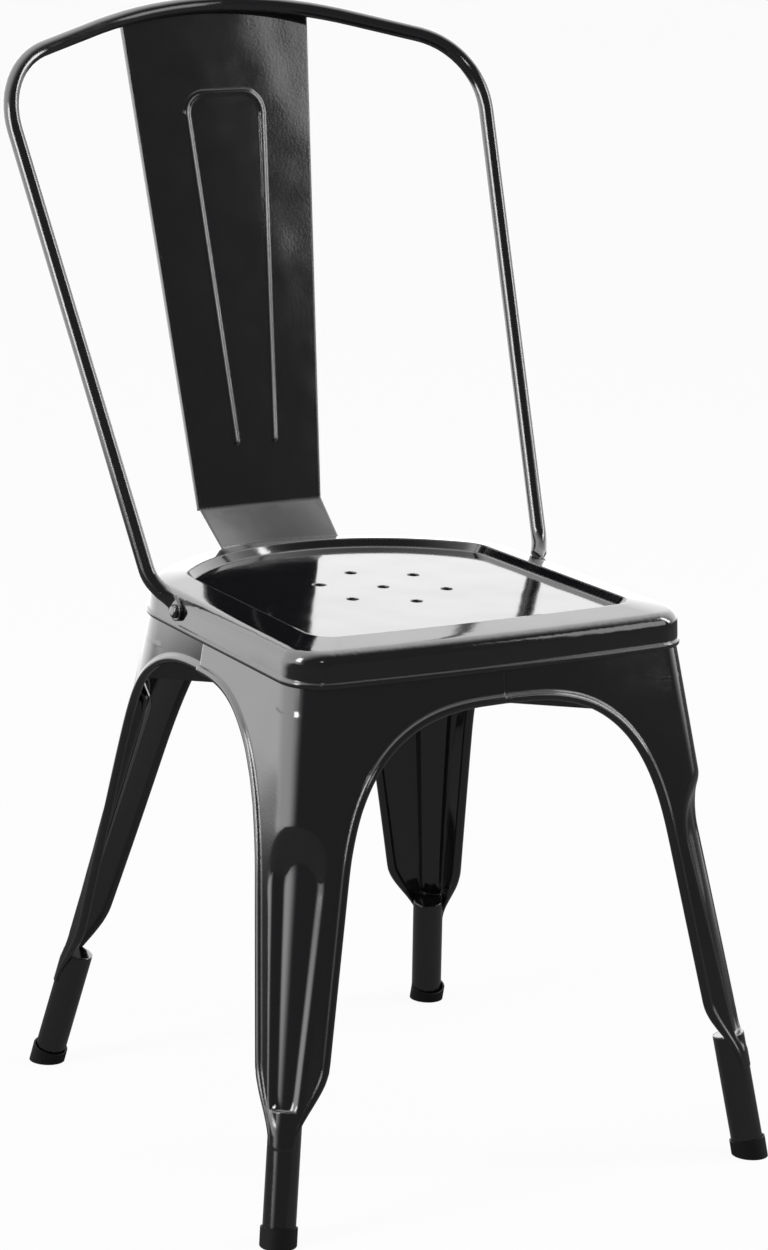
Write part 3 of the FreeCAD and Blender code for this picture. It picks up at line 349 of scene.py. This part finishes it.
FINISHES = {
    "gloss_black_paint": paint_steel("gloss_black_paint", (0.004, 0.004, 0.005)),
    "black_rubber": mould_rubber("black_rubber", (0.006, 0.006, 0.006)),
    "black_steel": paint_steel("black_steel", (0.006, 0.006, 0.007), 0.5),
    "zinc_steel": plate_zinc("zinc_steel", (0.6, 0.61, 0.62)),
}
print("finishes", sorted(FINISHES))

# %% [markdown]
# A CAD node's triangles are loose, one patch per face, so light breaks at every join between a flat
# and its rounding. A merged copy shaded smooth has none of those breaks. The copy stands for the
# node, which stays behind it unseen.

# %% Smooth copies
SMOOTH_ANGLE = math.radians(32)
WELD_DISTANCE = 0.00002
LARGE_FACE_WEIGHT = 100


def select_only(*pieces):
    bpy.ops.object.select_all(action="DESELECT")
    for piece in pieces:
        piece.select_set(True)
    bpy.context.view_layer.objects.active = pieces[0]


def apply_modifier(piece, kind, name, **settings):
    select_only(piece)
    modifier = piece.modifiers.new(name, kind)
    for key, value in settings.items():
        setattr(modifier, key, value)
    bpy.ops.object.modifier_apply(modifier=modifier.name)


def smooth_copy(name, slot):
    select_only(frame["nodes"][name])
    bpy.ops.object.duplicate(linked=False)
    copy = bpy.context.object
    copy.name = name + "_painted"
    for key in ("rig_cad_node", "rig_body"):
        del copy[key]
    bpy.ops.object.mode_set(mode="EDIT")
    bpy.ops.mesh.select_all(action="SELECT")
    bpy.ops.mesh.customdata_custom_splitnormals_clear()
    bpy.ops.mesh.remove_doubles(threshold=WELD_DISTANCE)
    bpy.ops.object.mode_set(mode="OBJECT")
    bpy.ops.object.shade_smooth_by_angle(angle=SMOOTH_ANGLE)
    apply_modifier(copy, "WEIGHTED_NORMAL", "even_normals", keep_sharp=True, weight=LARGE_FACE_WEIGHT)
    copy.data.materials.clear()
    copy.data.materials.append(FINISHES[slot])
    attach(copy, "root")
    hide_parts(name)
    return copy


copies = []
for row in frame["record"]["subparts"]:
    if not row["node"].startswith("leg_"):
        copies.append(smooth_copy(row["node"], row["material_slot"]))
print("smooth copies", len(copies), "with", sum(len(c.data.polygons) for c in copies), "triangles")

# %% [markdown]
# Each leg is one pressing: a gutter of thin sheet whose two faces meet in a rounded corner. Its upper
# edge follows the seat's outline and its lower end closes round the foot tube. Between the two it is
# a ruled surface, straight from top to bottom. Extruding and bevelling a box can't give that form, so
# a grid of points is worked out from the two curves instead. A soft trough is pressed into the corner,
# the edges are cut to the arches, and a rolled hem runs round them. Sizes here are in millimetres,
# across from the chair's middle and outward to the front or to the back.

# %% Sizes of the legs
MM = 0.001
MIDDLE_BACK = -35.6
LIP_LEVEL = 400.3
ARCH_START = 250.0
ARCH_POWER = 2.9
SIDE_ARCH_MIDDLE = -5.0
BUTT_GAP = 0.3
SHEET = 1.5
SKIN_FOOT = 72.0
TUBE_RADIUS = 12.5
TUBE_LEVELS = (6.5, 40.0, 96.0)
LEGS = {
    "front": {
        "facing": -1, "tube": (213.3, 221.8), "foot_tilt": 0.0,
        "trough_foot": 108.0, "trough_head": 255.0,
        "trough_half": (13.0, 25.0), "trough_depth": (7.0, 11.0),
    },
    "rear": {
        "facing": 1, "tube": (182.3, 207.3), "foot_tilt": 0.22,
        "trough_foot": 112.0, "trough_head": 300.0,
        "trough_half": (11.0, 18.0), "trough_depth": (6.0, 11.0),
    },
}
print("legs", sorted(LEGS))

# %% [markdown]
# The seat's front corners are small circles between nearly straight edges. Its rear is one wide sweep
# that blends into larger circles at the sides, and a rear leg's corner sits on that sweep. A place on
# the outline is given by its distance along from the leg's corner, plus towards the chair's side.

# %% The curve that a leg's upper edge follows
FRONT_CORNER = (144.0, 133.0, 28.2)
FRONT_BULGE = 2500.0
REAR_CORNER = (106.0, 70.3, 58.2)
REAR_SWEEP = 206.2
REAR_SWEEP_MIDDLE = -33.0
REAR_LEG_TURN = math.radians(52)
REAR_BLEND = math.radians(44.3)
SIDE_TAPER = 0.0393


def on_circle(across, out, radius, turn):
    return across + radius * math.cos(turn), out + radius * math.sin(turn)


def front_lip_point(along):
    across, out, radius = FRONT_CORNER
    eighth = radius * math.pi / 4
    if abs(along) <= eighth:
        return on_circle(across, out, radius, math.pi / 4 - along / radius)
    if along > 0:
        return across + radius - SIDE_TAPER * (along - eighth), out - (along - eighth)
    place = across + along + eighth
    return place, out + radius + (across ** 2 - place ** 2) / (2 * FRONT_BULGE)


def rear_lip_point(along):
    across, out, radius = REAR_CORNER
    blend = REAR_SWEEP * (REAR_LEG_TURN - REAR_BLEND)
    straight = blend + radius * (REAR_BLEND + SIDE_TAPER)
    if along <= blend:
        return on_circle(0.0, REAR_SWEEP_MIDDLE, REAR_SWEEP, REAR_LEG_TURN - along / REAR_SWEEP)
    if along <= straight:
        return on_circle(across, out, radius, REAR_BLEND - (along - blend) / radius)
    drop = radius * SIDE_TAPER
    return across + radius + SIDE_TAPER * (along - straight), out - drop - (along - straight)


LIP_POINTS = {"front": front_lip_point, "rear": rear_lip_point}
for end, lip_point in LIP_POINTS.items():
    print(end, "corner of the lip", [round(value, 1) for value in lip_point(0.0)])

# %% [markdown]
# Low down, the same corner is a quarter of the tube's round with a straight face on either side. Each
# point of the lip is joined by a straight line to the point as far along on that lower curve, and the
# lines together are the ruled surface.

# %% From the lip to the foot
def foot_point(end, along):
    """A point of the curve that wraps the foot tube, with the two faces straight on from it."""
    across, out = LEGS[end]["tube"]
    eighth = TUBE_RADIUS * math.pi / 4
    if abs(along) <= eighth:
        return on_circle(across, out, TUBE_RADIUS, math.pi / 4 - along / TUBE_RADIUS)
    if along > 0:
        tilt = LEGS[end]["foot_tilt"]
        return across + TUBE_RADIUS - tilt * (along - eighth), out - (along - eighth)
    return across + along + eighth, out + TUBE_RADIUS


def ruled(end, along, level):
    """The leg's plain surface: across and outward, on the straight line from lip to foot."""
    share = 1 - level / LIP_LEVEL
    lip, foot = LIP_POINTS[end](along), foot_point(end, along)
    return tuple(high * (1 - share) + low * share for high, low in zip(lip, foot))


def in_the_chair(end, side, across, out, level):
    """A point in metres, in the frame's own directions."""
    return Vector((side * across, LEGS[end]["facing"] * out + MIDDLE_BACK, level)) * MM


for end in LEGS:
    print(end, "corner at half height", [round(value, 1) for value in ruled(end, 0.0, LIP_LEVEL / 2)])

# %% [markdown]
# Half an arch is a sloping side that rounds over into a flat crown. One power curve gives both, and a
# power of nearly three is a little squarer than an ellipse, as on the photographed chair. Low down, the
# edge swings in until the sheet just grips the tube.

# %% Arches
def smooth_step(value):
    value = min(max(value, 0.0), 1.0)
    return value * value * (3 - 2 * value)


def arch_share(level, top):
    """How much of the arch's width is left at a level: all of it low down, none at the crown."""
    rise = min(max((level - ARCH_START) / (top - ARCH_START), 0.0), 1.0)
    return max(1 - rise ** ARCH_POWER, 0.0) ** (1 / ARCH_POWER)


ARCHES = {
    ("front", "face"): {"top": 379.0, "high": 141.0, "low": 177.0, "grip": 10.0},
    ("front", "side"): {"top": 380.0, "high": 124.5, "low": 182.0, "grip": 10.0},
    ("rear", "face"): {"top": 379.0, "high": 92.0, "low": 143.0, "grip": 11.0},
    ("rear", "side"): {"top": 380.0, "high": 132.0, "low": 171.0, "grip": 11.0},
}
ARCH_HIGH_LEVEL = 290.0
ARCH_LOW_LEVEL = 100.0
GRIP_LEVEL = 128.0
FARTHEST_ALONG = 330.0
HALVINGS = 40


def edge_along(end, face, level):
    """Where the sheet ends at a level, as a distance along from the leg's corner."""
    arch = ARCHES[end, face]
    slope = (arch["low"] - arch["high"]) / (ARCH_HIGH_LEVEL - ARCH_LOW_LEVEL)
    half = (arch["high"] + slope * (ARCH_HIGH_LEVEL - level)) * arch_share(level, arch["top"])
    middle = SIDE_ARCH_MIDDLE * LEGS[end]["facing"] if face == "side" else 0.0
    wanted = middle + max(half, BUTT_GAP / 2)
    axis, sign = (1, 1) if face == "side" else (0, -1)
    near, far = 0.0, FARTHEST_ALONG
    for _ in range(HALVINGS):
        tried = (near + far) / 2
        if ruled(end, sign * tried, level)[axis] > wanted:
            near = tried
        else:
            far = tried
    free = (near + far) / 2
    closed = smooth_step((GRIP_LEVEL - level) / (GRIP_LEVEL - SKIN_FOOT))
    return sign * (free * (1 - closed) + arch["grip"] * closed)


for end, face in ARCHES:
    print(end, face, "edge where the grip begins is", round(edge_along(end, face, GRIP_LEVEL)), "mm along")

# %% [markdown]
# A punch and a die press the trough, so its floor is soft and its lips have no crease. It grows wider
# and deeper towards its head and ends there in a rounded bay. It is pressed straight into the corner,
# halfway between the two faces.

# %% Trough
TROUGH_BAY = 1.7
TROUGH_EDGE = 1.15
TROUGH_LIP = 0.75


def trough(end, along, level):
    """How deep the trough is pressed at a point: nothing outside it, with soft lips."""
    leg = LEGS[end]
    share = (level - leg["trough_foot"]) / (leg["trough_head"] - leg["trough_foot"])
    inside = min(max(share, 0.0), 1.0)
    half, depth = (low + (high - low) * inside for low, high in (leg["trough_half"], leg["trough_depth"]))
    beyond = max(level - leg["trough_head"], leg["trough_foot"] - level, 0.0)
    far = math.hypot(along / half, beyond / (half * TROUGH_BAY))
    return depth * smooth_step((TROUGH_EDGE - far) / TROUGH_LIP)


for end, leg in LEGS.items():
    print(end, "trough at its head is", round(trough(end, 0.0, leg["trough_head"]), 1), "deep")

# %% [markdown]
# The skin is one row of points for each level, from the tube to the lip. Rows crowd together where the
# arches round over, and points crowd round the corner, where the sheet bends most.

# %% Rows of points for one leg
COLUMNS = 44
CORNER_CROWDING = 1.35
LEVELS = 120
CROWN_LEVEL = 380.0
LIP_BAND_LEVELS = [384.0, 390.0, 396.0, 402.0]


def leg_levels():
    """Levels from foot to lip, closer together near the crowns of the arches."""
    levels = []
    for index in range(LEVELS + 1):
        share = index / LEVELS
        levels.append(SKIN_FOOT + (CROWN_LEVEL - SKIN_FOOT) * math.sin(share * math.pi / 2))
    return levels + LIP_BAND_LEVELS


def leg_point(end, side, along, level):
    across, out = ruled(end, along, level)
    inward = trough(end, along, level) * math.sqrt(0.5)
    return in_the_chair(end, side, across - inward, out - inward, level)


def column_places(first, last):
    """Distances along for one row: even on the faces, closer together round the corner."""
    places = []
    for index in range(COLUMNS + 1):
        share = 2 * index / COLUMNS - 1
        reach = first if share < 0 else last
        places.append(reach * abs(share) ** CORNER_CROWDING)
    return places


def skin_rows(end, side):
    rows = []
    for level in leg_levels():
        places = column_places(edge_along(end, "face", level), edge_along(end, "side", level))
        rows.append([leg_point(end, side, along, level) for along in places])
    return rows


print(len(skin_rows("front", -1)), "rows of", COLUMNS + 1, "points")

# %% [markdown]
# Neighbouring rows are joined by four-sided faces. Where points fall together, as at the closed ends of
# a pipe, they are merged, and then every face is turned outwards.

# %% From rows to a mesh
SAME_POINT = 0.00001


def mesh_from_rows(name, rows):
    """A quad mesh from rows of points."""
    width = len(rows[0])
    points = [point for row in rows for point in row]
    faces = []
    for r in range(len(rows) - 1):
        for c in range(width - 1):
            corner = r * width + c
            faces.append((corner, corner + 1, corner + width + 1, corner + width))
    mesh = bpy.data.meshes.new(name)
    mesh.from_pydata(points, [], faces)
    made = bpy.data.objects.new(name, mesh)
    bpy.context.collection.objects.link(made)
    return made


def turn_outwards(piece):
    select_only(piece)
    bpy.ops.object.mode_set(mode="EDIT")
    bpy.ops.mesh.select_all(action="SELECT")
    bpy.ops.mesh.remove_doubles(threshold=SAME_POINT)
    bpy.ops.mesh.normals_make_consistent(inside=False)
    bpy.ops.object.mode_set(mode="OBJECT")


# %% [markdown]
# A hem is the sheet's own edge rolled into a round bead, and it thins out where the sheet closes on
# the tube. The foot tube is plain steel tube that leans as the leg does. A bevelled curve would do for
# the tube, but a hem has over a hundred points, each with its own radius, so one sweep of rings along
# a list of points serves both.

# %% Hems and foot tubes
ROUND_SIDES = 12
SIDEWAYS = Vector((0.31, 0.47, 0.83))
HEM_RADIUS = 3.6
HEM_END_RADIUS = 0.9
HEM_FADE_LEVEL = 120.0


def pipe_along(name, route, radii):
    """A round bar that follows a list of points, with a radius for each."""
    rows = []
    for index, (point, radius) in enumerate(zip(route, radii)):
        before, after = route[max(index - 1, 0)], route[min(index + 1, len(route) - 1)]
        ahead = (after - before).normalized()
        first = ahead.cross(SIDEWAYS).normalized()
        second = ahead.cross(first)
        ring = []
        for step in range(ROUND_SIDES + 1):
            turn = 2 * math.pi * step / ROUND_SIDES
            ring.append(point + (first * math.cos(turn) + second * math.sin(turn)) * radius)
        rows.append(ring)
    rows.insert(0, [route[0].copy() for _ in rows[0]])
    rows.append([route[-1].copy() for _ in rows[0]])
    pipe = mesh_from_rows(name, rows)
    turn_outwards(pipe)
    return pipe


def foot_tube(end, side, name):
    across, out = LEGS[end]["tube"]
    lip, foot = LIP_POINTS[end](0.0), foot_point(end, 0.0)
    lean_across, lean_out = ((high - low) / LIP_LEVEL for high, low in zip(lip, foot))
    route = []
    for level in TUBE_LEVELS:
        route.append(in_the_chair(end, side, across + lean_across * level, out + lean_out * level, level))
    return pipe_along(name, route, [TUBE_RADIUS * MM] * len(route))


def hem_tube(rows, column, name):
    """The rolled edge along the first or the last column of the skin, up to the arch's crown."""
    route = [row[column] for row in rows[:LEVELS + 1]]
    radii = []
    for level in leg_levels()[:LEVELS + 1]:
        fade = smooth_step((level - SKIN_FOOT) / (HEM_FADE_LEVEL - SKIN_FOOT))
        radii.append((HEM_END_RADIUS + (HEM_RADIUS - HEM_END_RADIUS) * fade) * MM)
    return pipe_along(name, route, radii)


# %% [markdown]
# Solidify gives the skin the sheet's thickness, half to each side. On the real chair the hems are
# rolled from the sheet, the tube is welded in and all of it is painted together, so each leg is joined
# to one piece that takes the place of the frame's leg. Shading is smooth but for the sheet's cut edges.

# %% Four legs
def build_leg(end, side):
    name = "leg_%s_%s" % (end, "left" if side < 0 else "right")
    rows = skin_rows(end, side)
    skin = mesh_from_rows(name + "_pressed", rows)
    apply_modifier(skin, "SOLIDIFY", "wall", thickness=SHEET * MM, offset=0.0)
    turn_outwards(skin)
    pieces = [skin, foot_tube(end, side, name + "_tube")]
    for column in (0, -1):
        pieces.append(hem_tube(rows, column, name + "_hem"))
    select_only(*pieces)
    bpy.ops.object.join()
    bpy.ops.object.shade_smooth_by_angle(angle=SMOOTH_ANGLE)
    skin.data.materials.append(FINISHES["gloss_black_paint"])
    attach(skin, "root")
    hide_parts(name)
    return skin


for end in LEGS:
    for side in (-1, 1):
        leg = build_leg(end, side)
        print(leg.name, len(leg.data.polygons), "faces")
